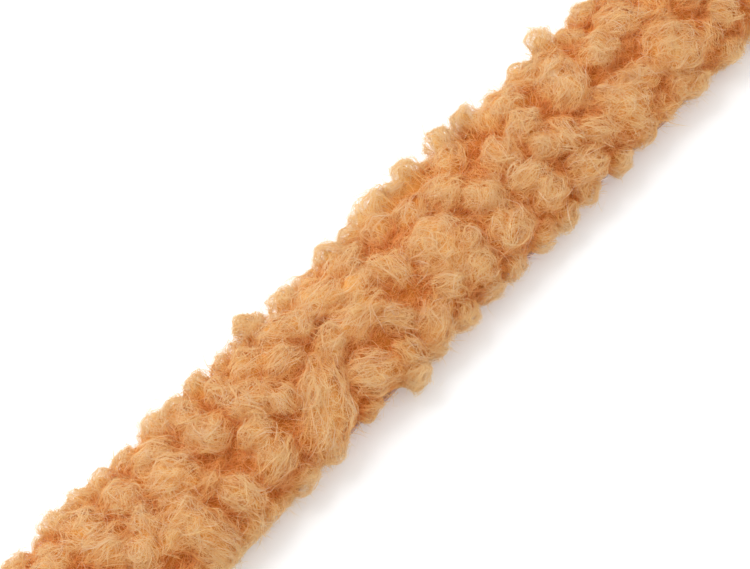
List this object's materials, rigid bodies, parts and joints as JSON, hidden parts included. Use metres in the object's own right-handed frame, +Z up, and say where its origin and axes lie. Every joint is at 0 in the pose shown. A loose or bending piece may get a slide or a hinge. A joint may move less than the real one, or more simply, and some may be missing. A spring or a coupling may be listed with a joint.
{
  "type": "faux fur trim",
  "caption": "Cut length of curly faux fur trim: thick swirling curls of pile, like lambswool, on a narrow ground tape that lies flat.",
  "frame": {"origin": "middle of the underside of the ground tape, halfway along the trim", "axes": "+X along the trim, +Y towards its back edge, +Z up through the pile"},
  "size_m": [0.247, 0.036, 0.015],
  "materials": {
    "pile": "dense curled synthetic pile, warm tan, matt with a soft sheen on the tips"
  },
  "bodies": {
    "root": {"fur_trim": "pile"}
  },
  "joints": []
}
